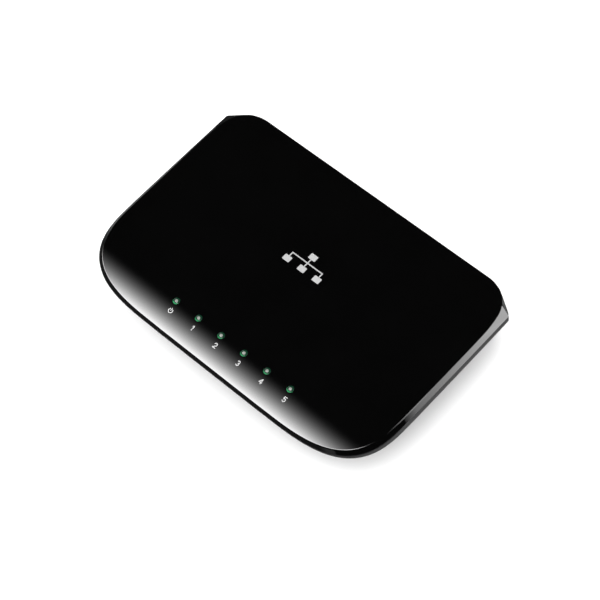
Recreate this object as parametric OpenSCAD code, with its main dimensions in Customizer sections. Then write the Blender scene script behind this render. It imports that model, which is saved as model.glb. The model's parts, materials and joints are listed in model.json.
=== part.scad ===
/* [Case] */
// Overall width of the case
case_w = 165; // [160:0.5:168]
// Overall depth of the case
case_d = 108; // [106:0.5:110]
// Overall height, from under the feet to the top
case_h = 28; // [27.5:0.1:29]
// Height of the rim's lower edge
rim_z = 21.6; // [21.4:0.1:22]
// Height of the rim below the parting line, at the sides and rear
rim_band = 4.2; // [3.8:0.1:4.3]
// Height of the rim below the parting line, at the front
rim_band_front = 1.3; // [1.1:0.1:1.5]
// How far the top dips towards its front edge
top_dip = 3.3; // [2.8:0.1:3.4]
// Distance from the front edge at which the dip starts
dip_length = 37.5; // [34:0.5:42]
// How far the front corners reach along the front edge
corner_reach = 52.5; // [46:0.5:56]
// How far the front corners reach along the sides
corner_depth = 39; // [34:0.5:42]
// Wall thickness of the bottom shell
wall = 2.2; // [2:0.1:2.4]
// Thickness of the top cover
cover_t = 1.8; // [1.5:0.1:2]

/* [Base] */
// Width of the base under the overhanging rim
base_w = 127; // [124:1:130]
// Depth of the base
base_d = 85.4; // [84:0.2:87]
// Height of the rubber feet below the base
foot_h = 1.5; // [1.2:0.1:1.6]
// Radius of a rubber foot
foot_r = 5; // [4:0.25:5.5]
// Thickness of the base floor
floor_t = 2; // [1.8:0.1:2.2]
// Distance between the two wall keyholes
keyhole_spacing = 80; // [76:1:82]
// Radius of a keyhole's round entry
keyhole_r = 3.75; // [3.25:0.25:4]
// Width of a keyhole's slot
keyhole_slot_w = 4; // [3.5:0.25:4.5]

/* [Circuit board] */
// Width of the circuit board
board_w = 120; // [118:1:121]
// Thickness of the circuit board
board_t = 1.6; // [1.5:0.1:1.6]

/* [Ports] */
// Distance between neighbouring ports
port_pitch = 16.2; // [16:0.1:16.3]
// Sideways place of the middle of the port row
port_mid_x = 12; // [11:0.5:12.5]
// Sideways place of the power inlet
inlet_x = -44; // [-46:0.5:-42]

/* [Indicators] */
// Distance between neighbouring indicators
lamp_pitch = 13.35; // [13:0.05:13.5]
// Sideways place of the first indicator
first_lamp_x = -31.6; // [-33:0.1:-31]
// Distance of the indicator windows from the front edge
lamp_inset = 14.7; // [14:0.1:16]
// Radius of an indicator window
window_r = 1.6; // [1.4:0.1:1.8]

/* [Hidden] */
$fn = 48;
port_count = 5;

// Case outline, seen from above: right of the middle, from the front to the rear
half_w = case_w / 2;
front_corner = [corner_reach, corner_depth];
front_y = -case_d / 2;
rear_y = case_d / 2;
rear_wall_y = rear_y - 0.6;
front_bow = 0.13;
side_bow = 0.19;
wing_x = half_w - 21.1;
wing_y = rear_y - 8.7;
wing_power = 1.34;
front_power = 3.33;
top_inset = 1.62;
top_inset_front = 0.6;
top_corner = [18.9, 28.6];
top_power = 2.87;
base_corner = [13, 13];
base_power = 2.3;
edge_w = 0.45;
edge_drop = 0.2;

// Places along the height
dip_start_y = front_y + dip_length;
base_front_y = rear_wall_y - base_d;
floor_z = foot_h + floor_t;
board_gap = 3;
board_z = floor_z + board_gap;
board_top = board_z + board_t;
lip_h = 1.6;
lip_t = 1.3;
lip_gap = 0.2;
seam = 0.12;

// Board and its fasteners
board_front_y = base_front_y - 1;
board_rear_y = rear_wall_y - wall - 0.6;
board_screw_places = [[-54, -22], [54, -22], [-56, 43], [56, 43]];
case_screw_places = [[-50, -6], [50, -6], [-57, 30], [57, 30]];
foot_seat = 0.5;
foot_places = [[-53, -20], [53, -20], [-53, 44], [53, 44]];
standoff_r = 3;
board_pilot_r = 1.1;
board_hole_r = 1.6;
boss_r = 4.2;
boss_top = 9;
boss_gap = 0.4;
boss_hole_r = 1.4;
post_r = 3.2;
post_gap = 0.05;
post_pilot_r = 1.25;
post_pilot_d = 9;
counterbore_r = 2.9;
counterbore_z = 4.5;

// Openings and recesses of the base
base_edge = 0.6;
rim_edge = 0.5;
keyhole_y = 12;
keyhole_run = 8;
vent_reach = 35;
vent_pitch = 5;
vent_w = 2.2;
vent_rows = [[-24, -12], [32, 44]];
label_w = 61.6;
label_d = 29.6;
label_gap = 0.2;
label_t = 0.15;
recess_d = 0.2;

// Network jack, measured from the middle of its mating face at board level
mating_y = rear_wall_y - 0.2;
jack_w = 15.8;
jack_h = 13.2;
jack_d = 18;
cavity_w = 11.8;
cavity_low = 3.2;
cavity_high = 10.2;
cavity_d = 13.5;
recess_w = 9.2;
recess_high = 12.1;
recess_front = 1.6;
peg_x = 5.7;
peg_y = -9;
peg_r = 1.6;
latch_slots = [[6.2, 1.8], [3.4, 1]];
wire_count = 8;
wire_pitch = 1.02;
wire_r = 0.2;
wire_root = [-2.3, 11.2];
wire_tip = [-12.95, 7.95];
comb_y = -12.7;
insert_front_y = -cavity_d - 0.1;
insert_back_y = -jack_d + 0.1;
insert_w = 11.6;
tail_r = 0.25;
tail_low = -3;
tail_row_y = -14.4;
tail_step = 2.54;
comb_w = 0.3;
comb_low = 7;
curl_r = 0.3;
curl_w = 0.5;
fit = 0.1;

// Power inlet, measured from the middle of its mating face at board level
inlet_w = 9;
inlet_h = 11;
inlet_d = 14;
inlet_axis_z = 6.5;
inlet_bore_r = 3.15;
inlet_bore_d = 10;
pin_r = 1.05;
leaf_pivot = [-12, 1.9];
leaf_w = 2.2;
leaf_slot_w = 2.8;
leaf_curl_r = 0.35;
pin_plate = [2.5, 0.4];
inlet_tails = [[0, -13.4], [0, -7], [4.1, -10.5]];
inlet_tail_hole_r = 1.5;

// Indicators
lamp_y = base_front_y + 1.5;
window_y = front_y + lamp_inset;
lamp_h = 1.1;
lamp_base_h = 0.6;
guide_r = 1.3;
guide_clear = 0.9;
guide_bar = [1.2, 0.8];
flange_w = 0.7;
flange_t = 1.1;
window_gap = 0.1;

function dip(y) = pow(max(0, (dip_start_y - y) / dip_length), 2);
function top_z(y) = case_h - top_dip * dip(y);
function parting_z(y) = rim_z + rim_band + (rim_band_front - rim_band) * dip(y);
function port_x(i) = port_mid_x + (i - (port_count + 1) / 2) * port_pitch;
function lamp_x(i) = first_lamp_x + (i - 1) * lamp_pitch;

// A superellipse corner; points at the same step of two corners face the same way
function corner(centre, size, power, side, steps) = [
    for (i = [0:steps])
        let (turn = 90 * (side < 0 ? steps - i : i) / steps)
        let (a = atan(pow(tan(min(turn, 89.99)) * size[1] / size[0], 1 / (2 - 2 / power))))
        centre + [size[0] * pow(cos(a), 2 / power), side * size[1] * pow(sin(a), 2 / power)]
];

function bow(p) = [
    p[0] * (1 - side_bow / half_w * pow(p[1] / rear_y, 2)),
    p[1] + front_bow * pow(p[0] / half_w, 2) * max(0, -p[1] / rear_y)
];

// Right half of an outline: half width, front, rear, front corner, rear corner centre
function half_outline(w, front, rear, size, power, rear_centre, rear_power) = let (
    edge_steps = 3,
    side_steps = 6,
    flat_x = w - size[0],
    side_y = front + size[1]
) [
    for (p = concat(
        [for (i = [0.5:edge_steps - 1]) [flat_x * i / edge_steps, front]],
        corner([flat_x, side_y], size, power, -1, 15),
        [for (i = [1:side_steps - 1]) [w, side_y + (rear_centre[1] - side_y) * i / side_steps]],
        corner(rear_centre, [w - rear_centre[0], rear - rear_centre[1]], rear_power, 1, 15)
    )) bow(p)
];
function inner(size, inset) = [size[0] - inset, size[1] - inset];

function rim_outline(inset, rear) = half_outline(
    half_w - inset, front_y + inset, rear,
    inner(front_corner, inset), front_power, [wing_x, wing_y], wing_power
);
function top_outline(inset) = half_outline(
    half_w - top_inset - inset, front_y + top_inset_front + inset, rear_y - inset,
    inner(front_corner, inset), front_power,
    [half_w - top_inset - top_corner[0], rear_y - top_corner[1]], top_power
);
function base_outline(inset, rear) = half_outline(
    base_w / 2 - inset, base_front_y + inset, rear,
    inner(base_corner, inset), base_power, [wing_x, rear_wall_y - 4.5], 2
);

function at_z(half, z) = [for (p = half) [p[0], p[1], z]];
function at_parting(half, dz) = [for (p = half) [p[0], p[1], parting_z(p[1]) + dz]];
function at_top(half, dz) = [for (p = half) [p[0], p[1], top_z(p[1]) + dz]];
function ring(half) = concat(
    half,
    [for (i = [len(half) - 1:-1:0]) [-half[i][0], half[i][1], half[i][2]]]
);

// Closed solid through a chain of rings: the first ring's lid faces down, the last one's up
module ring_solid(halves) {
    h = len(halves[0]);
    n = 2 * h;
    last = n * (len(halves) - 1);
    polyhedron(
        points = [for (half = halves) each ring(half)],
        faces = concat(
            [for (i = [0:h - 2]) [i, i + 1, n - 2 - i, n - 1 - i]],
            [for (k = [0:len(halves) - 2]) for (i = [0:n - 1])
                let (a = k * n + i, b = k * n + (i + 1) % n) each [[a, a + n, b + n], [a, b + n, b]]],
            [for (i = [0:h - 2]) [last + n - 1 - i, last + n - 2 - i, last + i + 1, last + i]]
        ),
        convexity = 6
    );
}

module at_port(i) translate([port_x(i), mating_y, board_top]) children();
module at_inlet() translate([inlet_x, mating_y, board_top]) children();
module at_places(places) for (p = places) translate([p[0], p[1], 0]) children();
module block(low, high) translate(low) cube(high - low);
module rod(from_z, to_z, r) translate([0, 0, from_z]) cylinder(h = to_z - from_z, r = r);

module top_cover() color("black") difference() {
    lip_out = wall + lip_gap;
    lip_in = lip_out + lip_t;
    union() {
        ring_solid([
            at_top(rim_outline(lip_in, rear_wall_y - lip_in), -cover_t),
            at_parting(rim_outline(lip_in, rear_wall_y - lip_in), -lip_h),
            at_parting(rim_outline(lip_out, rear_wall_y - lip_out), -lip_h),
            at_parting(rim_outline(lip_out, rear_wall_y - lip_out), 0),
            at_parting(rim_outline(0, rear_y), 0),
            at_top(top_outline(0), -edge_drop),
            at_top(top_outline(edge_w), 0)
        ]);
        at_places(case_screw_places) rod(boss_top + post_gap, case_h - cover_t / 2, post_r);
    }
    at_places(case_screw_places) rod(boss_top, boss_top + post_pilot_d, post_pilot_r);
    for (i = [1:port_count + 1])
        translate([lamp_x(i), window_y, 0]) rod(rim_z, case_h + 1, window_r + window_gap);
}

module bottom_shell() color("#26272a") difference() {
    union() {
        ring_solid([
            at_z(base_outline(base_edge, rear_wall_y - base_edge), foot_h),
            at_z(base_outline(0, rear_wall_y), foot_h + base_edge),
            at_z(rim_outline(rim_edge, rear_wall_y), rim_z - rim_edge),
            at_z(rim_outline(0, rear_wall_y), rim_z),
            at_parting(rim_outline(0, rear_wall_y), -seam),
            at_parting(rim_outline(wall, rear_wall_y - wall), -seam),
            at_parting(rim_outline(wall, rear_wall_y - wall), -lip_h - 0.3),
            at_z(rim_outline(wall + 0.9, rear_wall_y - wall), rim_z - 1.2),
            at_z(base_outline(1.6, rear_wall_y - wall), floor_z)
        ]);
        at_places(board_screw_places) rod(floor_z - floor_t / 2, board_z, standoff_r);
        at_places(case_screw_places) rod(floor_z - floor_t / 2, boss_top, boss_r);
    }
    at_places(board_screw_places) rod(floor_z, board_z + 1, board_pilot_r);
    at_places(case_screw_places) rod(0, boss_top + 1, boss_hole_r);
    at_places(case_screw_places) rod(0, counterbore_z, counterbore_r);
    at_places(foot_places) rod(0, foot_h + foot_seat, foot_r + fit);
    label_recess();
    keyholes();
    vent_slots();
    rear_openings();
}

module label_recess() {
    reach_x = label_w / 2 + label_gap;
    reach_y = label_d / 2 + label_gap;
    block([-reach_x, keyhole_y - reach_y, 0], [reach_x, keyhole_y + reach_y, foot_h + recess_d]);
}

module keyholes() for (side = [-1, 1]) translate([side * keyhole_spacing / 2, keyhole_y, 0]) {
    slot_r = keyhole_slot_w / 2;
    rod(0, floor_z + 1, keyhole_r);
    block([-slot_r, 0, 0], [slot_r, keyhole_run, floor_z + 1]);
    translate([0, keyhole_run, 0]) rod(0, floor_z + 1, slot_r);
}

module vent_slots() for (row = vent_rows) for (x = [-vent_reach:vent_pitch:vent_reach])
    block([x - vent_w / 2, row[0], 0], [x + vent_w / 2, row[1], floor_z + 1]);

module rear_openings() {
    gap = 0.25;
    low = board_top - gap;
    inside = rear_wall_y - wall - 1;
    block(
        [port_x(1) - jack_w / 2 - gap, inside, low],
        [port_x(port_count) + jack_w / 2 + gap, rear_y + 1, board_top + jack_h + gap]
    );
    block(
        [inlet_x - inlet_w / 2 - gap, inside, low],
        [inlet_x + inlet_w / 2 + gap, rear_y + 1, board_top + inlet_h + gap]
    );
}

module circuit_board() color("#1c5a34") difference() {
    translate([0, 0, board_z]) linear_extrude(board_t) board_outline();
    at_places(board_screw_places) rod(board_z - 1, board_top + 1, board_hole_r);
    at_places(case_screw_places) rod(board_z - 1, board_top + 1, boss_r + boss_gap);
    for (i = [1:port_count]) at_port(i) {
        jack_tails() rod(-board_t - 1, 1, tail_r + 2 * fit);
        jack_pegs() rod(-board_t - 1, 1, peg_r + fit);
    }
    at_inlet() at_places(inlet_tails) rod(-board_t - 1, 1, inlet_tail_hole_r);
}

module board_outline() {
    corner_r = 6;
    right = board_w / 2;
    difference() {
        translate([-right, board_front_y]) square([board_w, board_rear_y - board_front_y]);
        for (side = [-1, 1])
            translate([side * (right - corner_r), board_front_y + corner_r]) difference() {
                translate([side > 0 ? 0 : -corner_r - 1, -corner_r - 1]) square(corner_r + 1);
                circle(corner_r);
            }
    }
}

module jack_tails() for (i = [0:wire_count - 1])
    translate([(i - (wire_count - 1) / 2) * wire_pitch, tail_row_y - tail_step * (i % 2), 0]) children();

module jack_pegs() for (side = [-1, 1]) translate([side * peg_x, peg_y, 0]) children();

module jack_housing(i) at_port(i) color("#1b1c1e") {
    difference() {
        block([-jack_w / 2, -jack_d, 0], [jack_w / 2, 0, jack_h]);
        block([-cavity_w / 2, -cavity_d, cavity_low], [cavity_w / 2, 1, cavity_high]);
        for (slot = latch_slots)
            block([-slot[0] / 2, -cavity_d, slot[1]], [slot[0] / 2, 1, cavity_low + 1]);
        block([-recess_w / 2, -cavity_d, cavity_low + 1], [recess_w / 2, -recess_front, recess_high]);
        block([-insert_w / 2 - fit, -jack_d - 1, 1 - fit], [insert_w / 2 + fit, -cavity_d, recess_high]);
        jack_tails() rod(-1, 1, tail_r + 2 * fit);
    }
    jack_pegs() rod(-board_t - 1, 0.5, peg_r);
}

module contact_insert(i) at_port(i) color("#303236") {
    block([-insert_w / 2, insert_back_y, 1], [insert_w / 2, insert_front_y, recess_high - fit]);
    for (k = [0:wire_count]) translate([(k - wire_count / 2) * wire_pitch, 0, 0])
        block([-comb_w / 2, insert_front_y - 0.1, comb_low], [comb_w / 2, comb_y, recess_high - 0.5]);
    jack_tails() rod(tail_low, 1.5, tail_r);
}

module contact_springs(i) at_port(i) color("#d8b24a") {
    run = norm(wire_tip - wire_root);
    slope = atan2(wire_tip[0] - wire_root[0], wire_tip[1] - wire_root[1]);
    for (k = [0:wire_count - 1])
        translate([(k - (wire_count - 1) / 2) * wire_pitch, wire_root[0], wire_root[1]]) {
            rotate([-slope, 0, 0]) cylinder(h = run, r = wire_r);
            rotate([0, 90, 0]) cylinder(h = curl_w, r = curl_r, center = true);
        }
}

// A part on the board: a body with a row of leads at its left and at its right
module chip(w, d, h, leads, lead_pitch) {
    lift = 0.2;
    lead_w = 0.4;
    lead_h = 0.6;
    lead_reach = 1;
    block([-w / 2, -d / 2, lift], [w / 2, d / 2, h]);
    for (side = [-1, 1]) for (k = [0:leads - 1])
        translate([side * w / 2, (k - (leads - 1) / 2) * lead_pitch, 0])
            block([-lead_reach, -lead_w / 2, 0], [lead_reach, lead_w / 2, lead_h]);
}

module line_transformer(i) translate([port_x(i), 26.5, board_top]) color("#17181a")
    chip(12.4, 14.4, 5.8, 12, 1.12);

module light_guide() color("#7fb89a") {
    low = [lamp_y, board_top + lamp_h + guide_clear];
    ceiling = top_z(window_y) - cover_t - 0.3;
    high = [window_y, ceiling - flange_t / 2];
    lean = atan2(high[0] - low[0], high[1] - low[1]);
    for (i = [1:port_count + 1]) translate([lamp_x(i), 0, 0]) {
        translate([0, low[0], low[1]]) rotate([-lean, 0, 0]) cylinder(h = norm(high - low), r = guide_r);
        translate([0, window_y, 0]) rod(high[1] - 1, top_z(window_y - window_r) - 0.03, window_r);
        translate([0, window_y, 0]) rod(ceiling - flange_t, ceiling, window_r + flange_w);
    }
    mid = (low + high) / 2;
    block(
        [lamp_x(1) - 2, mid[0] - guide_bar[0], mid[1] - guide_bar[1]],
        [lamp_x(port_count + 1) + 2, mid[0] + guide_bar[0], mid[1] + guide_bar[1]]
    );
}

module indicator_lamp(i) translate([lamp_x(i), lamp_y, board_top]) color("#e8e6d8") {
    block([-1.6, -0.8, 0], [1.6, 0.8, lamp_base_h]);
    block([-1, -0.7, lamp_base_h / 2], [1, 0.7, lamp_h]);
}

module inlet_housing() at_inlet() color("#1b1c1e") difference() {
    block([-inlet_w / 2, -inlet_d, 0], [inlet_w / 2, 0, inlet_h]);
    translate([0, 1, inlet_axis_z]) rotate([90, 0, 0]) cylinder(h = inlet_bore_d + 1, r = inlet_bore_r);
    translate([0, 1, inlet_axis_z]) rotate([90, 0, 0]) cylinder(h = inlet_d + 2, r = pin_r + fit / 2);
    block([-leaf_slot_w / 2, -inlet_d - 1, 1], [leaf_slot_w / 2, -1.5, inlet_axis_z - 2.6]);
    block([-1.7, -inlet_d - 1, -1], [1.7, 1 - inlet_d, inlet_axis_z + 2]);
    block([-1.5, -7.5, -1], [1.5, -6.5, 2]);
    block([3.6, -12, -1], [inlet_w, -9, 3.1]);
}

module inlet_pin() at_inlet() color("#c9ccd0") {
    translate([0, -1.6, inlet_axis_z]) rotate([90, 0, 0]) cylinder(h = inlet_d - 2.1, r = pin_r);
    translate([0, -1, inlet_axis_z]) rotate([90, 0, 0]) cylinder(h = 0.6, r1 = 0.5, r2 = pin_r);
    translate([-pin_plate[0] / 2, 0.3 - inlet_d, tail_low])
        cube([pin_plate[0], pin_plate[1], inlet_axis_z + 1.3 - tail_low]);
}

module inlet_terminals() at_inlet() color("#c9ccd0") {
    block([-1.2, -7.2, tail_low], [1.2, -6.8, 1.5]);
    block([3.9, -11.7, tail_low], [4.3, -9.3, 2.8]);
}

module inlet_leaf_spring() at_inlet() color("#d8b24a") translate([-leaf_w / 2, 0, 0]) {
    p = leaf_pivot;
    rotate([90, 0, 90]) linear_extrude(leaf_w) union() {
        polygon([
            [p[0], p[1] - 0.15], [-6, 3.2], [-4.8, 3.5], [-3.4, 2.6],
            [-3.2, 2.9], [-4.8, 3.8], [-6.1, 3.5], [p[0], p[1] + 0.15]
        ]);
        translate(p) circle(leaf_curl_r);
    }
}

module switch_chip() translate([8, 4, board_top]) color("#202124") {
    half = 7;
    lead_pitch = 0.8;
    lead_w = 0.3;
    block([-half, -half, 0.2], [half, half, 1.6]);
    for (turn = [0:90:270]) rotate([0, 0, turn]) for (k = [-7.5:7.5])
        translate([k * lead_pitch, 0, 0]) block([-lead_w / 2, half - 0.5, 0], [lead_w / 2, half + 1, 0.5]);
}

module memory_chip() translate([-14, 2, board_top]) color("#202124") chip(3.9, 4.9, 1.5, 4, 1.27);

module crystal() translate([24, -4, board_top]) color("#c9ccd0") {
    run = 7;
    flange_r = 2.4;
    can_r = 1.9;
    linear_extrude(0.6) union() {
        for (side = [-1, 1]) translate([side * run / 2, 0]) circle(flange_r);
        square([run, 2 * flange_r], center = true);
    }
    translate([0, 0, 0.5]) linear_extrude(3) union() {
        for (side = [-1, 1]) translate([side * run / 2, 0]) circle(can_r);
        square([run, 2 * can_r], center = true);
    }
}

module regulator_chip() translate([-30, 14, board_top]) color("#202124") chip(3.9, 4.9, 1.6, 4, 1.27);

module power_inductor() translate([-42, 14, board_top]) color("#3a3b3e") difference() {
    half = 3.5;
    core_r = 2.9;
    block([-half, -half, 0], [half, half, 4]);
    translate([0, 0, 0.8]) linear_extrude(2.4) difference() {
        square(3 * half, center = true);
        circle(core_r);
    }
}

module filter_capacitor(i) translate([-34 - 9 * (i - 1), 27, board_top]) color("#24272e") {
    half = 3.3;
    can_r = 3.15;
    can_h = 7.7;
    block([-half, -half, 0], [half, half, 0.8]);
    rod(0.5, can_h, can_r);
}

module small_capacitors() color("#b08d5a")
    for (x = [-48:4:-28]) translate([x, 5, board_top]) block([-0.8, -0.4, 0], [0.8, 0.4, 0.8]);

module small_resistors() color("#1f1f21")
    for (i = [1:port_count + 1])
        translate([lamp_x(i), lamp_y + 6, board_top]) block([-0.5, -0.9, 0], [0.5, 0.9, 0.5]);

// A screw with its head's bearing face at z = 0 and its shank along +Z
module screw(head_r, head_h, shank_r, length) {
    cross_w = 0.7;
    cross_d = 0.9;
    cross_reach = 1.4;
    difference() {
        rod(-head_h, 0, head_r);
        for (turn = [0, 90]) rotate([0, 0, turn])
            block([-cross_reach, -cross_w / 2, -head_h - 1], [cross_reach, cross_w / 2, cross_d - head_h]);
    }
    rod(-0.5, length, shank_r);
}

module board_screws() color("#b9bcc0")
    at_places(board_screw_places) translate([0, 0, board_top]) rotate([180, 0, 0]) screw(2.6, 1.8, 1.05, 4);

module case_screws() color("#8d9094")
    at_places(case_screw_places) translate([0, 0, counterbore_z]) screw(2.6, 2, 1.2, 12);

module rating_label() color("#d9dadb")
    block(
        [-label_w / 2, keyhole_y - label_d / 2, foot_h + recess_d - label_t - 0.02],
        [label_w / 2, keyhole_y + label_d / 2, foot_h + recess_d - 0.02]
    );

module rubber_foot(i) color("#1a1a1a") translate([foot_places[i - 1][0], foot_places[i - 1][1], 0]) {
    edge = 0.4;
    rod(0, edge + 0.1, foot_r - edge);
    rod(edge, foot_h + foot_seat, foot_r);
}

top_cover();
bottom_shell();
circuit_board();
light_guide();
for (i = [1:port_count]) {
    jack_housing(i);
    contact_insert(i);
    contact_springs(i);
    line_transformer(i);
}
for (i = [1:port_count + 1]) indicator_lamp(i);
inlet_housing();
inlet_pin();
inlet_terminals();
inlet_leaf_spring();
switch_chip();
memory_chip();
crystal();
regulator_chip();
power_inductor();
for (i = [1, 2]) filter_capacitor(i);
small_capacitors();
small_resistors();
board_screws();
case_screws();
rating_label();
for (i = [1:4]) rubber_foot(i);
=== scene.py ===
"""The looks of the desktop network switch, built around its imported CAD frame."""

import json
import math

import bmesh
import bpy
import numpy as np
from mathutils import Matrix, Vector

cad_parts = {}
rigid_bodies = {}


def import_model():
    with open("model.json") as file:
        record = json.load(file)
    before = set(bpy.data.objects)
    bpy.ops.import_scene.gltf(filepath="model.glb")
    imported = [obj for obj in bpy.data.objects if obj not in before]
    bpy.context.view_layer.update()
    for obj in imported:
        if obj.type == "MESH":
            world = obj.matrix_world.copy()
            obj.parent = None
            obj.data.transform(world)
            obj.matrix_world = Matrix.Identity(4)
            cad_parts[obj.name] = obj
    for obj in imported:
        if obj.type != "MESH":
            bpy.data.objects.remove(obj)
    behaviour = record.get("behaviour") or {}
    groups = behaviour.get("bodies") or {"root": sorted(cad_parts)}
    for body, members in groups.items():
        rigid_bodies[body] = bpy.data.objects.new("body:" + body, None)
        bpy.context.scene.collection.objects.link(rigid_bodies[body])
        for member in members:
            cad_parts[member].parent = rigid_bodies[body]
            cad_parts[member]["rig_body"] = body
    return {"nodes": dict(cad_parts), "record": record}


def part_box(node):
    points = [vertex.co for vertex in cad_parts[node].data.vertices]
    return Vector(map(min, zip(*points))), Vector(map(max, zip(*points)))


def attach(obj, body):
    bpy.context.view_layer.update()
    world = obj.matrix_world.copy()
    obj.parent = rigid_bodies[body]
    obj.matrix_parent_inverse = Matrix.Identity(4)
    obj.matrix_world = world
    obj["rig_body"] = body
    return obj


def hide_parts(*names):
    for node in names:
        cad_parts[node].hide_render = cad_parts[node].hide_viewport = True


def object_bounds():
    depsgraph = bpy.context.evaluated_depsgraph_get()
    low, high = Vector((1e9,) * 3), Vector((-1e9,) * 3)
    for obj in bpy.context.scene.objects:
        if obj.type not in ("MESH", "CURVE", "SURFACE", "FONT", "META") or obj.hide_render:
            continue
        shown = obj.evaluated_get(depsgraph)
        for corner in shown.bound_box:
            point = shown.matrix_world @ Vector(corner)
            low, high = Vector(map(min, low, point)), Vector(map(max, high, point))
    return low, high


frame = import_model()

MM = 0.001
CASE = "case"
cad_low, cad_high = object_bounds()
nodes = frame["nodes"]
scene = bpy.context.scene

# ---------------------------------------------------------------- the case's own numbers, in millimetres
HALF_W = cad_high.x / MM
REAR_Y = cad_high.y / MM
FRONT_Y = cad_low.y / MM
CASE_H = cad_high.z / MM
REAR_WALL_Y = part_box("bottom_shell")[1].y / MM
BASE_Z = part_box("bottom_shell")[0].z / MM
RIM_Z = 21.6
RIM_BAND = 4.2
RIM_BAND_FRONT = 1.3
TOP_DIP = 3.3
DIP_LENGTH = 37.5
FRONT_CORNER = (52.5, 39.0)
FRONT_POWER = 3.33
FRONT_BOW, SIDE_BOW = 0.13, 0.19
SEAM = 0.12
WALL = 2.2
COVER_T = 1.8
LIP_H, LIP_T, LIP_GAP = 1.6, 1.3, 0.2
FLOOR_Z = BASE_Z + 2.0
BASE_W, BASE_D = 127.0, 85.4
BASE_FRONT_Y = REAR_WALL_Y - BASE_D
WING_X, WING_Y, WING_POWER = HALF_W - 21.1, REAR_Y - 8.7, 1.34
DIP_START_Y = FRONT_Y + DIP_LENGTH
TOP_INSET, TOP_INSET_FRONT = 1.62, 0.6
TOP_CORNER, TOP_POWER = (18.9, 28.6), 2.87
BASE_CORNER, BASE_POWER = (13, 13), 2.3
BASE_REAR_CORNER, BASE_REAR_POWER = 4.5, 2.0
WINDOW_Y = FRONT_Y + 14.7
WINDOW_R = 1.6
PORTS = 5
LAMPS = PORTS + 1

# The openings in the shell's floor, as in the CAD
VENT_X = range(-35, 36, 5)
VENT_ROWS = ((-24, -12), (32, 44))
VENT_HALF, VENT_ROUND, VENT_CHAMFER = 1.1, 1.05, 0.3
KEYHOLE_X, KEYHOLE_Y = 40.0, 12.0
KEYHOLE_R, SLOT_R, SLOT_RUN = 3.75, 2.0, 8.0
SCREW_PLACES = ((50, -6), (57, 30))
COUNTERBORE_R, COUNTERBORE_Z = 2.9, 4.5
FOOT_X, FOOT_Y = 53, (-20, 44)
FOOT_RECESS_R, FOOT_RECESS = 5.15, 0.5
LABEL_HALF_W, LABEL_HALF_D, LABEL_CORNER, LABEL_RECESS = 31, 15, 1.2, 0.2

# The studio: strengths of the panels and the room, and what polished surfaces see elsewhere
ROOM, FILL, STRIP, RIGHT, REAR, LEFT, CREST = 1.3, 4.3, 24.8, 9.0, 2.0, 4.0, 6.0
DARK = 0.03
FLOOR_SHINE = 0.45
FLOOR_SHINE_FRONT = FLOOR_SHINE * 0.25
SENSOR, IMAGE_W = 36, 600


def middle(node):
    low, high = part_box(node)
    return (low + high) / 2 / MM


LAMP_X = [middle(f"indicator_lamp_{i}").x for i in range(1, LAMPS + 1)]
PORT_X = [middle(f"jack_housing_{i}").x for i in range(1, PORTS + 1)]


# ---------------------------------------------------------------- camera, floor and light
def make_camera():
    """Stands to the right of the front edge and looks down on the lid."""
    azimuth, elevation, roll = (math.radians(a) for a in (51.335, 59.221, -10.246))
    distance, lens = 0.839067, 118.918
    target = Vector((11.907, -7.004, RIM_Z + 10)) * MM
    half_pixel = 0.5 * distance / (lens / SENSOR * IMAGE_W)
    back = Vector((
        math.sin(azimuth) * math.cos(elevation),
        -math.cos(azimuth) * math.cos(elevation),
        math.sin(elevation),
    ))
    right = Vector((math.cos(azimuth), math.sin(azimuth), 0))
    up = back.cross(right)
    x_axis = right * math.cos(roll) + up * math.sin(roll)
    y_axis = up * math.cos(roll) - right * math.sin(roll)
    turn = Matrix((x_axis, y_axis, back)).transposed().to_4x4()
    data = bpy.data.cameras.new("camera")
    data.sensor_width = SENSOR
    data.lens = lens
    data.clip_start, data.clip_end = 0.01, 50
    camera = bpy.data.objects.new("camera", data)
    stand = target + back * distance - (x_axis - y_axis) * half_pixel
    camera.matrix_world = Matrix.Translation(stand) @ turn
    scene.collection.objects.link(camera)
    scene.camera = camera


def new_object(name, mesh):
    obj = bpy.data.objects.new(name, mesh)
    scene.collection.objects.link(obj)
    return obj


def flat_panel(name, w, d):
    mesh = bpy.data.meshes.new(name)
    corners = [(-w / 2, -d / 2, 0), (w / 2, -d / 2, 0), (w / 2, d / 2, 0), (-w / 2, d / 2, 0)]
    mesh.from_pydata(corners, [], [(0, 1, 2, 3)])
    return new_object(name, mesh)


def split_by_ray(tree, usual, reflected):
    """Shows `usual` to every ray but those from polished surfaces, which get `reflected`."""
    mix = tree.nodes.new("ShaderNodeMixShader")
    path = tree.nodes.new("ShaderNodeLightPath")
    tree.links.new(path.outputs["Is Glossy Ray"], mix.inputs[0])
    tree.links.new(usual.outputs[0], mix.inputs[1])
    tree.links.new(reflected.outputs[0], mix.inputs[2])
    return mix


def ramp_along(tree, axis, start, end):
    """A value that goes from 0 to 1 between two places along X or Y."""
    place = tree.nodes.new("ShaderNodeNewGeometry")
    split = tree.nodes.new("ShaderNodeSeparateXYZ")
    ramp = tree.nodes.new("ShaderNodeMapRange")
    ramp.inputs["From Min"].default_value = start
    ramp.inputs["From Max"].default_value = end
    tree.links.new(place.outputs["Position"], split.inputs[0])
    tree.links.new(split.outputs[axis], ramp.inputs["Value"])
    return ramp


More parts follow.
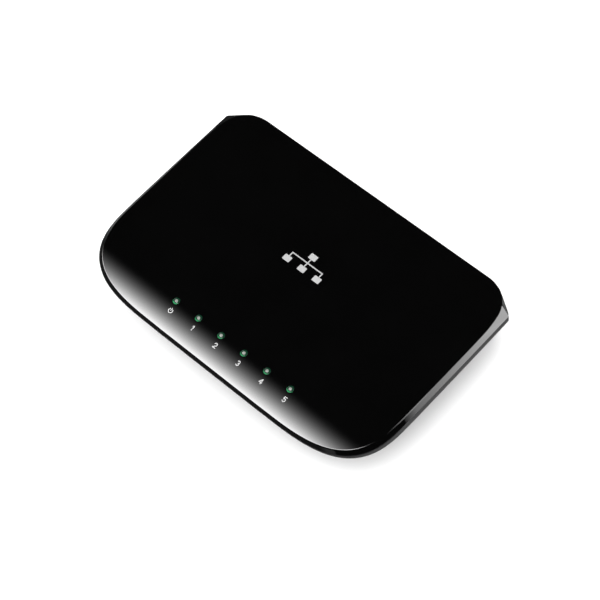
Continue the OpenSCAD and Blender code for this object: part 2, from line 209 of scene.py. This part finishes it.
def make_floor():
    """A plain pale floor. The case's polished rim sees it darker in front of the case than beside it."""
    floor = flat_panel("floor", 12.0, 12.0)
    material, shader = new_material("floor_pale")
    shader.inputs["Base Color"].default_value = (0.93, 0.93, 0.93, 1)
    shader.inputs["Roughness"].default_value = 0.9
    shader.inputs["Specular IOR Level"].default_value = 0.1
    tree = material.node_tree
    shine = tree.nodes.new("ShaderNodeEmission")
    ramp = ramp_along(tree, "X", 0.06, 0.085)
    ramp.inputs["To Min"].default_value = FLOOR_SHINE_FRONT
    ramp.inputs["To Max"].default_value = FLOOR_SHINE
    tree.links.new(ramp.outputs["Result"], shine.inputs["Strength"])
    mix = split_by_ray(tree, shader, shine)
    tree.links.new(mix.outputs[0], tree.nodes["Material Output"].inputs["Surface"])
    floor.data.materials.append(material)


def light_panel(name, centre, size, aim, strength, ramp=None, seen="both"):
    """A soft panel facing `aim`. A ramp of (axis, start, end, power) makes its light grow along X or Y.

    `seen` says whether it lights surfaces ("light"), shows in polished ones ("shine"), or does both.
    """
    panel = flat_panel(name, *size)
    material = bpy.data.materials.new(name)
    material.use_nodes = True
    tree = material.node_tree
    tree.nodes.clear()
    out = tree.nodes.new("ShaderNodeOutputMaterial")
    glow = tree.nodes.new("ShaderNodeEmission")
    glow.inputs["Strength"].default_value = strength
    tree.links.new(glow.outputs[0], out.inputs["Surface"])
    if ramp:
        axis, start, end, power = ramp
        grow = ramp_along(tree, axis, start, end)
        curve = tree.nodes.new("ShaderNodeMath")
        curve.operation = "POWER"
        curve.inputs[1].default_value = power
        scale = tree.nodes.new("ShaderNodeMath")
        scale.operation = "MULTIPLY_ADD"
        scale.inputs[1].default_value = strength
        scale.inputs[2].default_value = DARK
        tree.links.new(grow.outputs[0], curve.inputs[0])
        tree.links.new(curve.outputs[0], scale.inputs[0])
        tree.links.new(scale.outputs[0], glow.inputs["Strength"])
    panel.data.materials.append(material)
    panel.location = centre
    towards = (Vector(aim) - Vector(centre)).normalized()
    panel.rotation_euler = towards.to_track_quat("Z", "Y").to_euler()
    panel.visible_camera = False
    panel.visible_diffuse = seen != "shine"
    panel.visible_glossy = seen != "light"
    return panel


def make_light():
    world = bpy.data.worlds.new("studio")
    scene.world = world
    world.use_nodes = True
    tree = world.node_tree
    tree.nodes.clear()
    out = tree.nodes.new("ShaderNodeOutputWorld")
    room = tree.nodes.new("ShaderNodeBackground")
    dark = tree.nodes.new("ShaderNodeBackground")
    for background, strength in ((room, ROOM), (dark, DARK)):
        background.inputs["Color"].default_value = (1, 1, 1, 1)
        background.inputs["Strength"].default_value = strength
    mix = split_by_ray(tree, room, dark)
    tree.links.new(mix.outputs[0], out.inputs["Surface"])

    light_panel("overhead_fill", (-0.3, -0.45, 2.6), (3.4, 3.0), (0, 0, 0), FILL, seen="light")
    strip_ramp = ("Y", 0.125, -0.116, 3.25)
    strip = light_panel(
        "front_strip", (-0.67, -0.1, 1.5), (1.2, 0.5), (-0.67, -0.1, 0), STRIP, strip_ramp, "shine"
    )
    strip.rotation_euler = (math.pi, 0, 0)
    right_ramp = ("Y", 0.24, 0.45, 1.0)
    light_panel(
        "right_panel", (1.05, 1.15, 0.8), (1.8, 1.6), (0, 1.15, 0.8), RIGHT, right_ramp, "shine"
    )
    light_panel("rear_panel", (0.1, 1.3, 0.35), (1.6, 0.7), (0.1, 0, 0.35), REAR)
    light_panel("left_panel", (-1.2, 0.3, 0.7), (0.5, 1.2), (0, 0, 0.02), LEFT, seen="shine")
    light_panel("crest_panel", (0.42, 0.55, 1.5), (0.3, 0.8), (0, 0, 0.02), CREST, seen="shine")


def new_material(name):
    material = bpy.data.materials.new(name)
    material.use_nodes = True
    return material, material.node_tree.nodes["Principled BSDF"]


# ---------------------------------------------------------------- materials
def textured(
    name, colour, rough, spread=0.06, scale=900.0, bump=0.0, tone=0.15, metal=0.0, **extra
):
    """A shader whose colour, roughness and surface vary over the piece, at the scale of the real grain."""
    material, shader = new_material(name)
    tree = material.node_tree
    place = tree.nodes.new("ShaderNodeTexCoord")

    def noise(detail_scale, detail):
        node = tree.nodes.new("ShaderNodeTexNoise")
        node.inputs["Scale"].default_value = detail_scale
        node.inputs["Detail"].default_value = detail
        tree.links.new(place.outputs["Object"], node.inputs["Vector"])
        return node

    broad, fine = noise(45.0, 3.0), noise(scale, 4.0)
    ramp = tree.nodes.new("ShaderNodeValToRGB")
    dark = [c * (1 - tone) for c in colour]
    light = [min(1, c * (1 + tone)) for c in colour]
    ramp.color_ramp.elements[0].color = (*dark, 1)
    ramp.color_ramp.elements[1].color = (*light, 1)
    ramp.color_ramp.elements[0].position = 0.3
    ramp.color_ramp.elements[1].position = 0.7
    tree.links.new(broad.outputs["Fac"], ramp.inputs["Fac"])
    tree.links.new(ramp.outputs["Color"], shader.inputs["Base Color"])
    rub = tree.nodes.new("ShaderNodeMapRange")
    rub.inputs["From Min"].default_value = 0.3
    rub.inputs["From Max"].default_value = 0.7
    rub.inputs["To Min"].default_value = max(0.01, rough - spread)
    rub.inputs["To Max"].default_value = rough + spread
    tree.links.new(fine.outputs["Fac"], rub.inputs["Value"])
    tree.links.new(rub.outputs["Result"], shader.inputs["Roughness"])
    if bump:
        press = tree.nodes.new("ShaderNodeBump")
        press.inputs["Strength"].default_value = bump
        press.inputs["Distance"].default_value = 0.00005
        tree.links.new(fine.outputs["Fac"], press.inputs["Height"])
        tree.links.new(press.outputs["Normal"], shader.inputs["Normal"])
    shader.inputs["Metallic"].default_value = metal
    for socket, value in extra.items():
        shader.inputs[socket.replace("_", " ")].default_value = value
    return material


def make_materials():
    return {
        "gloss_black_cover": textured(
            "piano_black", (0.0004, 0.0004, 0.00042), 0.03, spread=0.008, scale=260, tone=0.3
        ),
        "dark_grey_shell": textured(
            "satin_black_shell", (0.01, 0.01, 0.0105), 0.36, spread=0.08, scale=2600, bump=0.25
        ),
        "green_board": textured(
            "solder_mask", (0.012, 0.11, 0.035), 0.3, spread=0.08, scale=700, bump=0.1
        ),
        "clear_green_guide": textured(
            "guide_green", (0.02, 0.16, 0.06), 0.12, scale=1200, tone=0.3
        ),
        "black_connector": textured(
            "connector_black", (0.013, 0.013, 0.014), 0.42, spread=0.1, scale=3000, bump=0.3
        ),
        "dark_insert": textured(
            "insert_black", (0.02, 0.02, 0.021), 0.5, spread=0.1, scale=3000, bump=0.2
        ),
        "gold_contact": textured(
            "contact_gold", (0.83, 0.55, 0.18), 0.2, spread=0.06, scale=4000, metal=1.0
        ),
        "chip_black": textured(
            "chip_epoxy", (0.017, 0.017, 0.018), 0.5, spread=0.08, scale=3500, bump=0.3
        ),
        "lamp_white": textured(
            "lamp_white", (0.75, 0.74, 0.68), 0.3, scale=3000
        ),
        "tinned_metal": textured(
            "tin", (0.72, 0.73, 0.75), 0.22, scale=3000, metal=1.0
        ),
        "ferrite": textured(
            "ferrite_grey", (0.06, 0.06, 0.065), 0.55, scale=4000, bump=0.4
        ),
        "capacitor_can": textured(
            "capacitor_sleeve", (0.03, 0.035, 0.05), 0.28, scale=2500
        ),
        "ceramic_tan": textured(
            "ceramic_tan", (0.45, 0.3, 0.16), 0.45, scale=3000
        ),
        "screw_steel": textured(
            "zinc_steel", (0.5, 0.51, 0.53), 0.32, spread=0.08, scale=2600, bump=0.1, metal=1.0
        ),
        "label_silver": textured(
            "label_film", (0.72, 0.73, 0.74), 0.35, spread=0.05, scale=1500, tone=0.03
        ),
        "foot_rubber": textured(
            "foot_rubber", (0.012, 0.012, 0.012), 0.8, spread=0.08, scale=2800, bump=0.5
        ),
        "white_ink": textured(
            "white_ink", (0.28, 0.28, 0.28), 0.45, spread=0.05, scale=3000, tone=0.03
        ),
        "lamp_core": textured(
            "lamp_core", (0.17, 0.18, 0.165), 0.25, scale=3000, tone=0.12, Specular_IOR_Level=0.08
        ),
        "window_green": textured(
            "window_green", (0.004, 0.024, 0.012), 0.15, scale=1500, tone=0.3, Specular_IOR_Level=0.08
        ),
    }


# ---------------------------------------------------------------- outlines of the case
def dip(y):
    return max(0.0, (DIP_START_Y - y) / DIP_LENGTH) ** 2


def top_z(y):
    return CASE_H - TOP_DIP * dip(y)


def top_slope(y):
    return 2 * TOP_DIP * max(0.0, DIP_START_Y - y) / DIP_LENGTH ** 2


def parting_z(y):
    return RIM_Z + RIM_BAND + (RIM_BAND_FRONT - RIM_BAND) * dip(y)


def corner(centre, size, power, start, steps):
    """A superellipse corner whose points share their outward directions with every other outline's."""
    fall = 2 - 2 / power
    points = []
    for i in range(steps + 1):
        turn = math.radians(90 * i / steps)
        if start < 0:
            turn = math.pi / 2 - turn
        a = math.atan(min(1e9, math.tan(turn) * size[1] / size[0]) ** (1 / fall))
        c, s = math.cos(a), math.sin(a) * (-1 if start < 0 else 1)
        points.append((
            centre[0] + size[0] * abs(c) ** (2 / power),
            centre[1] + size[1] * math.copysign(abs(s) ** (2 / power), s),
        ))
    return points


def half_outline(w, front, rear, size, power, rear_centre, rear_power):
    """The right half of an outline seen from above, from the middle of the front to the rear."""
    edge_steps, side_steps, front_steps, rear_steps = 10, 26, 48, 60
    flat_x, side_y = w - size[0], front + size[1]
    points = [(flat_x * (i + 0.5) / edge_steps, front) for i in range(edge_steps - 1)]
    points += corner((flat_x, side_y), size, power, -90, front_steps)
    points += [(w, side_y + (rear_centre[1] - side_y) * i / side_steps) for i in range(1, side_steps)]
    points += corner(rear_centre, (w - rear_centre[0], rear - rear_centre[1]), rear_power, 0, rear_steps)
    return [
        (
            x * (1 - SIDE_BOW / HALF_W * (y / REAR_Y) ** 2),
            y + FRONT_BOW * (x / HALF_W) ** 2 * max(0.0, -y / REAR_Y),
        )
        for x, y in points
    ]


def inner(size, inset):
    return size[0] - inset, size[1] - inset


def rim_outline(inset, rear):
    return half_outline(
        HALF_W - inset, FRONT_Y + inset, rear,
        inner(FRONT_CORNER, inset), FRONT_POWER, (WING_X, WING_Y), WING_POWER,
    )


def top_outline(inset):
    rear_centre = (HALF_W - TOP_INSET - TOP_CORNER[0], REAR_Y - TOP_CORNER[1])
    return half_outline(
        HALF_W - TOP_INSET - inset, FRONT_Y + TOP_INSET_FRONT + inset, REAR_Y - inset,
        inner(FRONT_CORNER, inset), FRONT_POWER, rear_centre, TOP_POWER,
    )


def base_outline(inset, rear):
    rear_centre = (WING_X, REAR_WALL_Y - BASE_REAR_CORNER)
    return half_outline(
        BASE_W / 2 - inset, BASE_FRONT_Y + inset, rear,
        inner(BASE_CORNER, inset), BASE_POWER, rear_centre, BASE_REAR_POWER,
    )


def lift(half, height):
    """Gives each point of a half outline its height, and adds the mirrored half."""
    right = [(x, y, height(y) if callable(height) else height) for x, y in half]
    return np.array(right + [(-x, y, z) for x, y, z in reversed(right)])


def rounded(before, at, after, reach, steps=6, hold=0.08):
    """Rings that round the edge at ring `at` between its neighbours, `reach` millimetres each way.

    A further ring `hold` beyond each end keeps the flat surface next to it flat.
    """
    def towards(other, run):
        away = other - at
        return at + away / np.linalg.norm(away, axis=1)[:, None] * run
    start, end = towards(before, reach), towards(after, reach)
    times = [i / steps for i in range(steps + 1)]
    bend = [start * (1 - t) ** 2 + at * 2 * t * (1 - t) + end * t ** 2 for t in times]
    return [towards(before, reach + hold)] + bend + [towards(after, reach + hold)]


def ring_mesh(name, rings):
    """A closed solid through rings of equal length, with flat cross strips as its two lids."""
    n = len(rings[0])
    h = n // 2
    points = np.vstack(rings) * MM
    last = n * (len(rings) - 1)
    faces = [(i, i + 1, n - 2 - i, n - 1 - i) for i in range(h - 1)]
    for k in range(len(rings) - 1):
        for i in range(n):
            j = (i + 1) % n
            faces.append((k * n + i, k * n + j, (k + 1) * n + j, (k + 1) * n + i))
    faces += [(last + i, last + i + 1, last + n - 2 - i, last + n - 1 - i) for i in range(h - 1)]
    mesh = bpy.data.meshes.new(name)
    mesh.from_pydata(points.tolist(), [], faces)
    mesh.validate()
    bm = bmesh.new()
    bm.from_mesh(mesh)
    bmesh.ops.recalc_face_normals(bm, faces=bm.faces)
    bm.to_mesh(mesh)
    bm.free()
    return mesh


# ---------------------------------------------------------------- cutters
def stack(bm, rings):
    """Adds a closed solid through rings of points, in millimetres, that each hold equally many."""
    rows = [[bm.verts.new(Vector(p) * MM) for p in ring] for ring in rings]
    count = len(rows[0])
    bm.faces.new(rows[0])
    bm.faces.new(rows[-1])
    for low, high in zip(rows, rows[1:]):
        for i in range(count):
            j = (i + 1) % count
            bm.faces.new((low[i], low[j], high[j], high[i]))


def prism(bm, outline, low, high):
    """Adds a closed prism over a flat outline, between two heights."""
    stack(bm, [[(u, v, t) for u, v in outline] for t in (low, high)])


def box_outline(x0, y0, x1, y1, r=0.0, steps=5):
    if not r:
        return [(x0, y0), (x1, y0), (x1, y1), (x0, y1)]
    points = []
    centres = ((x1 - r, y0 + r, -90), (x1 - r, y1 - r, 0), (x0 + r, y1 - r, 90), (x0 + r, y0 + r, 180))
    for cx, cy, start in centres:
        for i in range(steps + 1):
            a = math.radians(start + 90 * i / steps)
            points.append((cx + r * math.cos(a), cy + r * math.sin(a)))
    return points


def circle_outline(x, y, r, steps=48):
    turns = [2 * math.pi * i / steps for i in range(steps)]
    return [(x + r * math.cos(a), y + r * math.sin(a)) for a in turns]


def finished_mesh(bm, name):
    bmesh.ops.recalc_face_normals(bm, faces=bm.faces)
    mesh = bpy.data.meshes.new(name)
    bm.to_mesh(mesh)
    bm.free()
    return mesh


def cut(obj, cutter_mesh):
    """Takes the cutter's solids out of obj's mesh."""
    tool = new_object("cutter", cutter_mesh)
    step = obj.modifiers.new("cut", "BOOLEAN")
    step.operation, step.solver, step.object = "DIFFERENCE", "MANIFOLD", tool
    graph = bpy.context.evaluated_depsgraph_get()
    mesh = bpy.data.meshes.new_from_object(obj.evaluated_get(graph))
    obj.modifiers.clear()
    obj.data = mesh
    bpy.data.objects.remove(tool)


def smooth(mesh, angle=32):
    mesh.polygons.foreach_set("use_smooth", [True] * len(mesh.polygons))
    mesh.set_sharp_from_angle(angle=math.radians(angle))


# ---------------------------------------------------------------- the lid
def make_top_cover(materials):
    lip_in = rim_outline(WALL + LIP_GAP + LIP_T, REAR_WALL_Y - WALL - LIP_GAP - LIP_T)
    lip_out = rim_outline(WALL + LIP_GAP, REAR_WALL_Y - WALL - LIP_GAP)
    edge = rim_outline(0, REAR_Y)
    parting = lift(edge, parting_z)
    under = lift(lip_out, parting_z)
    crest = lift(top_outline(0.06), top_z)
    inside = lift(top_outline(3), top_z)
    rings = [
        lift(lip_in, lambda y: top_z(y) - COVER_T),
        lift(lip_in, lambda y: parting_z(y) - LIP_H),
        lift(lip_out, lambda y: parting_z(y) - LIP_H),
        under,
    ]
    rings += rounded(under, parting, crest, 0.2, steps=4)
    rings += rounded(parting, crest, inside, 0.38, steps=8)
    rings += [lift(top_outline(0.9), top_z), lift(top_outline(3), top_z)]
    cover = new_object("lid", ring_mesh("lid", rings))
    bm = bmesh.new()
    for x in LAMP_X:
        prism(bm, circle_outline(x, WINDOW_Y, WINDOW_R + 0.1), RIM_Z, CASE_H + 1)
    cut(cover, finished_mesh(bm, "holes"))
    smooth(cover.data)
    true_top_normals(cover.data)
    cover.data.materials.clear()
    cover.data.materials.append(materials["gloss_black_cover"])
    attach(cover, CASE)
    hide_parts("top_cover")


def true_top_normals(mesh):
    """Sets the exact normals of the lid's dipping top, so that its reflections are smooth."""
    normals = [tuple(c.vector) for c in mesh.corner_normals]
    points = [v.co for v in mesh.vertices]
    for face in mesh.polygons:
        if face.normal.z < 0.5:
            continue
        for corner_index in face.loop_indices:
            p = points[mesh.loops[corner_index].vertex_index] / MM
            if abs(p.z - top_z(p.y)) < 0.001:
                normals[corner_index] = tuple(Vector((0, -top_slope(p.y), 1)).normalized())
    mesh.normals_split_custom_set(normals)


# ---------------------------------------------------------------- the bottom shell
def shell_cutters():
    bm = bmesh.new()
    cut_rear_openings(bm)
    cut_vents(bm)
    for side in (-1, 1):
        keyhole = keyhole_outline(side * KEYHOLE_X, KEYHOLE_Y, KEYHOLE_R, SLOT_R, SLOT_RUN)
        prism(bm, keyhole, 0, FLOOR_Z + 0.5)
        for x, y in SCREW_PLACES:
            prism(bm, circle_outline(side * x, y, COUNTERBORE_R), 0, COUNTERBORE_Z)
        for y in FOOT_Y:
            prism(bm, circle_outline(side * FOOT_X, y, FOOT_RECESS_R), 0, BASE_Z + FOOT_RECESS)
    label = box_outline(
        -LABEL_HALF_W, KEYHOLE_Y - LABEL_HALF_D, LABEL_HALF_W, KEYHOLE_Y + LABEL_HALF_D, LABEL_CORNER
    )
    prism(bm, label, 0, BASE_Z + LABEL_RECESS)
    return finished_mesh(bm, "shell_cutters")


def cut_rear_openings(bm):
    """The openings for the row of jacks and for the inlet, each with a chamfered edge outside."""
    gap, chamfer, corner_r = 0.25, 0.45, 0.3
    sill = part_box("circuit_board")[1].z / MM - gap
    inside = REAR_WALL_Y - WALL - 1
    steps = ((inside, 0), (REAR_WALL_Y - 0.35, 0), (REAR_WALL_Y + 0.1, chamfer), (REAR_WALL_Y + 1, chamfer))
    for first, last in (("jack_housing_1", f"jack_housing_{PORTS}"), ("inlet_housing", "inlet_housing")):
        low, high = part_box(first)[0] / MM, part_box(last)[1] / MM
        rings = []
        for y, g in steps:
            spread = gap + g
            outline = box_outline(low.x - spread, sill - g, high.x + spread, high.z + spread, corner_r + g)
            rings.append([(u, y, v) for u, v in outline])
        stack(bm, rings)


def cut_vents(bm):
    steps = ((0, VENT_CHAMFER), (BASE_Z, VENT_CHAMFER), (BASE_Z + VENT_CHAMFER, 0), (FLOOR_Z + 1, 0))
    for x in VENT_X:
        for y0, y1 in VENT_ROWS:
            rings = []
            for z, g in steps:
                outline = box_outline(x - VENT_HALF - g, y0 - g, x + VENT_HALF + g, y1 + g, VENT_ROUND + g)
                rings.append([(u, v, z) for u, v in outline])
            stack(bm, rings)


def keyhole_outline(x, y, r, slot_r, run, steps=40):
    """A round entry with a narrower slot running to +Y."""
    meet = math.asin(slot_r / r)
    around = 2 * math.pi - 2 * meet
    points = []
    for i in range(steps + 1):
        a = math.pi / 2 + meet + around * i / steps
        points.append((x + r * math.cos(a), y + r * math.sin(a)))
    for i in range(13):
        a = math.pi * i / 12
        points.append((x + slot_r * math.cos(a), y + run + slot_r * math.sin(a)))
    return points


def make_bottom_shell(materials):
    rim = rim_outline(0, REAR_WALL_Y)
    low_rim = lift(rim, RIM_Z)
    band_top = lift(rim, lambda y: parting_z(y) - SEAM)
    base_edge = lift(base_outline(0, REAR_WALL_Y), BASE_Z)
    wall_inside = rim_outline(WALL, REAR_WALL_Y - WALL)
    shelf = lift(wall_inside, lambda y: parting_z(y) - SEAM)
    underside = lift(base_outline(3, REAR_WALL_Y - 3), BASE_Z)
    rings = [underside]
    rings += rounded(underside, base_edge, low_rim, 1.1, steps=6)
    rings += rounded(base_edge, low_rim, band_top, 0.6, steps=6)
    rings += rounded(low_rim, band_top, shelf, 0.5, steps=5)
    rings += [
        shelf,
        lift(wall_inside, lambda y: parting_z(y) - LIP_H - 0.3),
        lift(rim_outline(WALL + 0.9, REAR_WALL_Y - WALL), RIM_Z - 1.2),
        lift(base_outline(1.6, REAR_WALL_Y - WALL), FLOOR_Z),
    ]
    shell = new_object("tub", ring_mesh("tub", rings))
    cut(shell, shell_cutters())
    smooth(shell.data)
    shell.data.materials.clear()
    shell.data.materials.append(materials["dark_grey_shell"])
    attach(shell, CASE)
    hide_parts("bottom_shell")


# ---------------------------------------------------------------- indicator windows and print
def lens_mesh(name):
    """A shallow lens level with the dipping lid, its lamp core a second material."""
    profile = [  # radius, height, material
        (0.72, -0.06, 1), (0.8, -0.09, 0), (1.4, -0.11, 0), (WINDOW_R, -0.2, 0), (WINDOW_R, -4, 0),
    ]
    steps, slope = 48, top_slope(WINDOW_Y)
    turns = [2 * math.pi * k / steps for k in range(steps)]
    bm = bmesh.new()
    peak = bm.verts.new(Vector((0, 0, -0.05)) * MM)
    rings = []
    for r, z, _ in profile:
        flat = [(r * math.cos(a), r * math.sin(a)) for a in turns]
        rings.append([bm.verts.new(Vector((u, v, z + v * slope)) * MM) for u, v in flat])
    for k in range(steps):
        m = (k + 1) % steps
        bm.faces.new((peak, rings[0][k], rings[0][m])).material_index = profile[0][2]
        for low, high, (_, _, core) in zip(rings, rings[1:], profile[1:]):
            bm.faces.new((low[k], high[k], high[m], low[m])).material_index = core
    bm.faces.new(rings[-1][::-1])
    return finished_mesh(bm, name)


def make_windows(materials):
    for i, x in enumerate(LAMP_X):
        name = f"window_lens_{i + 1}"
        window = new_object(name, lens_mesh(name))
        window.location = Vector((x, WINDOW_Y, top_z(WINDOW_Y))) * MM
        smooth(window.data, 50)
        window.data.materials.append(materials["window_green"])
        window.data.materials.append(materials["lamp_core"])
        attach(window, CASE)


def inked(name, outlines, materials, place, height=0.02):
    """Thin raised print over flat outlines, in millimetres. `place` puts (u, v, lift) on the case."""
    bm = bmesh.new()
    for outline in outlines:
        stack(bm, [[place(u, v, t) for u, v in outline] for t in (-0.05, height)])
    obj = new_object(name, finished_mesh(bm, name))
    obj.data.materials.append(materials["white_ink"])
    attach(obj, CASE)


def stroke(points, width):
    """Flat outlines with round ends along a line of points, split at its sharp corners."""
    runs = [[points[0]]]
    for k in range(1, len(points)):
        runs[-1].append(points[k])
        if k < len(points) - 1:
            turn = heading(points[k], points[k + 1]) - heading(points[k - 1], points[k])
            if math.cos(turn) < 0.5:
                runs.append([points[k]])
    return [ribbon(run, width / 2) for run in runs]


def heading(p, q):
    return math.atan2(q[1] - p[1], q[0] - p[0])


def ribbon(run, half):
    """One closed outline around a gently turning line of points."""
    headings = [heading(p, q) for p, q in zip(run, run[1:])]
    left, right = [], []
    for p, a0, a1 in zip(run[1:-1], headings, headings[1:]):
        bend = math.atan2(math.sin(a1 - a0), math.cos(a1 - a0)) / 2
        reach, a = half / math.cos(bend), a0 + bend + math.pi / 2
        left.append((p[0] + reach * math.cos(a), p[1] + reach * math.sin(a)))
        right.append((p[0] - reach * math.cos(a), p[1] - reach * math.sin(a)))

    def cap(centre, start):
        turns = [start + math.pi * i / 6 for i in range(7)]
        return [(centre[0] + half * math.cos(t), centre[1] + half * math.sin(t)) for t in turns]
    far, near = cap(run[-1], headings[-1] - math.pi / 2), cap(run[0], headings[0] + math.pi / 2)
    return far + left[::-1] + near + right


def arc(cx, cy, r, start, end, steps=14):
    angles = [math.radians(start + (end - start) * i / steps) for i in range(steps + 1)]
    return [(cx + r * math.cos(a), cy + r * math.sin(a)) for a in angles]


DIGITS = {  # each digit as lines of points in a box 0.6 wide and 1 high, its middle at 0, 0
    "1": [[(-0.2, 0.3), (0.05, 0.5), (0.05, -0.5)]],
    "2": [arc(0, 0.22, 0.28, 165, -35) + [(-0.3, -0.5), (0.32, -0.5)]],
    "3": [arc(0, 0.25, 0.25, 150, -80), arc(0, -0.22, 0.28, 80, -150)],
    "4": [[(0.15, -0.5), (0.15, 0.5), (-0.32, -0.22), (0.34, -0.22)]],
    "5": [[(0.28, 0.5), (-0.22, 0.5), (-0.27, 0.05)] + arc(-0.02, -0.18, 0.31, 125, -145)],
}


def glyph(lines, x, y, size, width):
    placed = [[(x + u * size, y + v * size) for u, v in line] for line in lines]
    return [outline for line in placed for outline in stroke(line, width)]


def make_print(materials):
    def on_top(u, v, t):
        return u, v, top_z(v) + t
    offset_x, offset_y, size, width = 1.2, -5.0, 2.2, 0.4
    power_sign = [arc(0, 0, 0.45, 125, 415, 20), [(0, 0.08), (0, 0.58)]]
    bars = glyph(power_sign, LAMP_X[0] + offset_x, WINDOW_Y + offset_y, size, width)
    inked("print_power", bars, materials, on_top)
    for i in range(1, PORTS + 1):
        bars = glyph(DIGITS[str(i)], LAMP_X[i] + offset_x, WINDOW_Y + offset_y, size, width)
        inked(f"print_top_{i}", bars, materials, on_top)
    mark_y, mark_height = 10, 0.006
    inked("print_network", network_mark(0, mark_y), materials, on_top, mark_height)

    def on_rear(u, v, t):
        return -u, REAR_WALL_Y + t, v
    rear_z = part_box("jack_housing_1")[1].z / MM + 1.9
    for i in range(1, PORTS + 1):
        bars = glyph(DIGITS[str(i)], -PORT_X[i - 1], rear_z, 2.0, 0.3)
        inked(f"print_rear_{i}", bars, materials, on_rear)
    inlet_x = middle("inlet_housing").x
    inlet_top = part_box("inlet_housing")[1].z / MM + 2.2
    dashes = [[(x - 0.2, -0.25), (x + 0.2, -0.25)] for x in (-0.8, 0, 0.8)]
    direct_current = [[(-1, 0.2), (1, 0.2)]] + dashes
    inked("print_inlet", glyph(direct_current, -inlet_x, inlet_top, 1.5, 0.3), materials, on_rear)


def network_mark(x, y):
    """A plain tree of boxes: one over three, joined by lines."""
    box_w, box_h, bar = 3.8, 2.9, 0.55
    pitch, reach, lap = 8.6, 2.2, 0.1
    shapes = [box_outline(x - box_w / 2, y + reach, x + box_w / 2, y + reach + box_h, 0.4)]
    for k in (-1, 0, 1):
        cx = x + k * pitch
        shapes.append(box_outline(cx - box_w / 2, y - reach - box_h, cx + box_w / 2, y - reach, 0.4))
        shapes.append(box_outline(cx - bar / 2, y - reach - lap, cx + bar / 2, y - bar / 2))
    shapes.append(box_outline(x - pitch - bar / 2, y - bar / 2, x + pitch + bar / 2, y + bar / 2))
    shapes.append(box_outline(x - bar / 2, y + bar / 2, x + bar / 2, y + reach + lap))
    return shapes


# ---------------------------------------------------------------- CAD pieces with softened edges
def soften(node, width, slot, materials):
    """Stands for a CAD node: the same solid with its sharp edges rounded."""
    source = nodes[node]
    bm = bmesh.new()
    bm.from_mesh(source.data)
    bmesh.ops.remove_doubles(bm, verts=bm.verts, dist=1e-6)
    bmesh.ops.dissolve_limit(bm, angle_limit=math.radians(1.0), verts=bm.verts, edges=bm.edges)
    bmesh.ops.recalc_face_normals(bm, faces=bm.faces)
    mesh = bpy.data.meshes.new(f"{node}_soft")
    bm.to_mesh(mesh)
    bm.free()
    obj = new_object(f"{node}_soft", mesh)
    edge = obj.modifiers.new("edge", "BEVEL")
    edge.width, edge.segments, edge.limit_method = width * MM, 2, "ANGLE"
    edge.angle_limit = math.radians(40)
    edge.use_clamp_overlap = True
    graph = bpy.context.evaluated_depsgraph_get()
    bevelled = bpy.data.meshes.new_from_object(obj.evaluated_get(graph))
    obj.modifiers.clear()
    obj.data = bevelled
    smooth(obj.data, 40)
    obj.data.materials.clear()
    obj.data.materials.append(materials[slot])
    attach(obj, source["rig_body"])
    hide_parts(node)


def dress_nodes(materials):
    slots = {s["node"]: s["material_slot"] for s in frame["record"]["subparts"]}
    replaced = {"top_cover", "bottom_shell"}
    softened = {f"jack_housing_{i}": 0.18 for i in range(1, PORTS + 1)}
    softened.update({"inlet_housing": 0.18, "case_screws": 0.12, "inlet_pin": 0.08})
    for node, obj in nodes.items():
        if node in replaced:
            continue
        if node in softened:
            soften(node, softened[node], slots[node], materials)
            continue
        obj.data.materials.clear()
        obj.data.materials.append(materials[slots[node]])


make_camera()
make_floor()
make_light()
scene.view_settings.view_transform = "Standard"
finishes = make_materials()
make_top_cover(finishes)
make_bottom_shell(finishes)
make_windows(finishes)
make_print(finishes)
dress_nodes(finishes)
